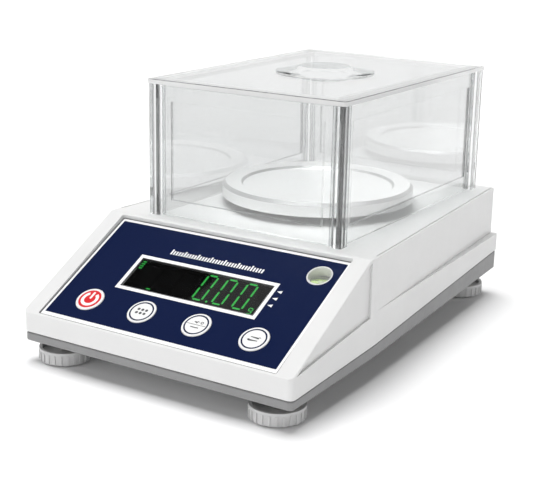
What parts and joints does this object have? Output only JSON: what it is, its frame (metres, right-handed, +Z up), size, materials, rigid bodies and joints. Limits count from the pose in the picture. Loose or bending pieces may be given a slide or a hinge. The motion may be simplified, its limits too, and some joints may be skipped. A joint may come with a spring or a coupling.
{
  "type": "precision laboratory balance",
  "caption": "Bench-top electronic balance: wedge-shaped case with a sloping key panel, round steel pan under a clear box shield with a lift-off lid, and screw feet.",
  "frame": {"origin": "on the bench, midway between the feet, under the middle of the case", "axes": "+X to the operator's right, +Y to the rear, +Z up; the key panel faces -Y"},
  "size_m": [0.2, 0.31, 0.1758],
  "materials": {
    "white_abs": "fine moulded texture",
    "grey_abs": "fine moulded texture",
    "foot_plastic": "satin",
    "foot_rubber": "matt",
    "clear_acrylic": "clear polished",
    "navy_film": "satin printed film",
    "bezel_white": "satin",
    "smoked_window": "polished",
    "display_black": "matt",
    "key_white": "satin",
    "pan_steel": "satin brushed",
    "zinc_steel": "zinc plated",
    "cell_aluminium": "anodised",
    "carrier_plastic": "satin",
    "circuit_board": "solder mask",
    "chip_black": "matt",
    "brass": "turned",
    "vial_clear": "clear polished",
    "vial_fluid": "coloured spirit",
    "vial_bubble": "clear",
    "cable_grey": "flat cable",
    "socket_black": "satin",
    "key_red": "printed lacquer",
    "print_grey": "printed ink",
    "digit_green": "lit segment"
  },
  "bodies": {
    "base": {"upper_housing": "white_abs", "base_tray": "grey_abs", "housing_screws": "zinc_steel", "panel_overlay": "navy_film", "display_bezel": "bezel_white", "display_window": "smoked_window", "display_module": "display_black", "display_board": "circuit_board", "display_board_screws": "zinc_steel", "key_switches": "chip_black", "level_sleeve": "white_abs", "level_vial": "vial_clear", "level_fluid": "vial_fluid", "level_bubble": "vial_bubble", "load_cell_block": "cell_aluminium", "load_cell": "cell_aluminium", "load_cell_screws": "zinc_steel", "overload_stop": "zinc_steel", "foot_inserts": "brass", "board_standoffs": "brass", "main_board": "circuit_board", "main_board_screws": "zinc_steel", "board_components": "chip_black", "ribbon_cable": "cable_grey", "dc_inlet": "socket_black", "serial_port": "socket_black"},
    "power_key": {"key_power": "key_white"},
    "count_key": {"key_count": "key_white"},
    "tare_key": {"key_tare": "key_white"},
    "unit_key": {"key_unit": "key_white"},
    "pan_carrier": {"pan_bridge": "zinc_steel", "bridge_screws": "zinc_steel", "pan_stem": "cell_aluminium", "pan_support": "carrier_plastic", "pan_cushions": "foot_rubber"},
    "pan": {"weighing_pan": "pan_steel"},
    "shield": {"shield_post_front_left": "clear_acrylic", "shield_post_front_right": "clear_acrylic", "shield_post_rear_left": "clear_acrylic", "shield_post_rear_right": "clear_acrylic", "shield_pane_front": "clear_acrylic", "shield_pane_rear": "clear_acrylic", "shield_pane_left": "clear_acrylic", "shield_pane_right": "clear_acrylic"},
    "lid": {"shield_lid": "clear_acrylic", "lid_knob": "clear_acrylic"},
    "foot_front_left": {"foot_pad_front_left": "foot_rubber"},
    "wheel_front_left": {"foot_wheel_front_left": "foot_plastic", "foot_stud_front_left": "zinc_steel"},
    "foot_front_right": {"foot_pad_front_right": "foot_rubber"},
    "wheel_front_right": {"foot_wheel_front_right": "foot_plastic", "foot_stud_front_right": "zinc_steel"},
    "foot_rear_left": {"foot_pad_rear_left": "foot_rubber"},
    "wheel_rear_left": {"foot_wheel_rear_left": "foot_plastic", "foot_stud_rear_left": "zinc_steel"},
    "foot_rear_right": {"foot_pad_rear_right": "foot_rubber"},
    "wheel_rear_right": {"foot_wheel_rear_right": "foot_plastic", "foot_stud_rear_right": "zinc_steel"}
  },
  "joints": [
    {"name": "power_key_press", "type": "slide", "parent": "base", "child": "power_key", "axis": [0, 0.4588, -0.8885], "range_m": [0, 0.0005], "stiffness_N_per_m": 400, "springref_m": -0.0008},
    {"name": "count_key_press", "type": "slide", "parent": "base", "child": "count_key", "axis": [0, 0.4588, -0.8885], "range_m": [0, 0.0005], "stiffness_N_per_m": 400, "springref_m": -0.0008},
    {"name": "tare_key_press", "type": "slide", "parent": "base", "child": "tare_key", "axis": [0, 0.4588, -0.8885], "range_m": [0, 0.0005], "stiffness_N_per_m": 400, "springref_m": -0.0008},
    {"name": "unit_key_press", "type": "slide", "parent": "base", "child": "unit_key", "axis": [0, 0.4588, -0.8885], "range_m": [0, 0.0005], "stiffness_N_per_m": 400, "springref_m": -0.0008},
    {"name": "load_cell_travel", "type": "slide", "parent": "base", "child": "pan_carrier", "axis": [0, 0, 1], "range_m": [-0.0005, 0], "stiffness_N_per_m": 12000, "springref_m": 0.0006},
    {"name": "pan_lift", "type": "slide", "parent": "pan_carrier", "child": "pan", "axis": [0, 0, 1], "range_m": [0, 0.06]},
    {"name": "shield_lift", "type": "slide", "parent": "base", "child": "shield", "axis": [0, 0, 1], "range_m": [0, 0.16]},
    {"name": "lid_lift", "type": "slide", "parent": "shield", "child": "lid", "axis": [0, 0, 1], "range_m": [0, 0.06]},
    {"name": "foot_front_left_height", "type": "slide", "parent": "base", "child": "foot_front_left", "axis": [0, 0, 1], "range_m": [-0.003, 0.003]},
    {"name": "wheel_front_left_turn", "type": "hinge", "parent": "foot_front_left", "child": "wheel_front_left", "pos_m": [-0.08, -0.138, 0.005], "axis": [0, 0, 1], "range_deg": [-1081, 1081]},
    {"name": "foot_front_right_height", "type": "slide", "parent": "base", "child": "foot_front_right", "axis": [0, 0, 1], "range_m": [-0.003, 0.003]},
    {"name": "wheel_front_right_turn", "type": "hinge", "parent": "foot_front_right", "child": "wheel_front_right", "pos_m": [0.08, -0.138, 0.005], "axis": [0, 0, 1], "range_deg": [-1081, 1081]},
    {"name": "foot_rear_left_height", "type": "slide", "parent": "base", "child": "foot_rear_left", "axis": [0, 0, 1], "range_m": [-0.003, 0.003]},
    {"name": "wheel_rear_left_turn", "type": "hinge", "parent": "foot_rear_left", "child": "wheel_rear_left", "pos_m": [-0.069, 0.1375, 0.005], "axis": [0, 0, 1], "range_deg": [-1081, 1081]},
    {"name": "foot_rear_right_height", "type": "slide", "parent": "base", "child": "foot_rear_right", "axis": [0, 0, 1], "range_m": [-0.003, 0.003]},
    {"name": "wheel_rear_right_turn", "type": "hinge", "parent": "foot_rear_right", "child": "wheel_rear_right", "pos_m": [0.069, 0.1375, 0.005], "axis": [0, 0, 1], "range_deg": [-1081, 1081]}
  ],
  "couplings": [
    {"joint": "wheel_front_left_turn", "follows": "foot_front_left_height", "rad_per_m": 6283.2},
    {"joint": "wheel_front_right_turn", "follows": "foot_front_right_height", "rad_per_m": 6283.2},
    {"joint": "wheel_rear_left_turn", "follows": "foot_rear_left_height", "rad_per_m": 6283.2},
    {"joint": "wheel_rear_right_turn", "follows": "foot_rear_right_height", "rad_per_m": 6283.2}
  ]
}
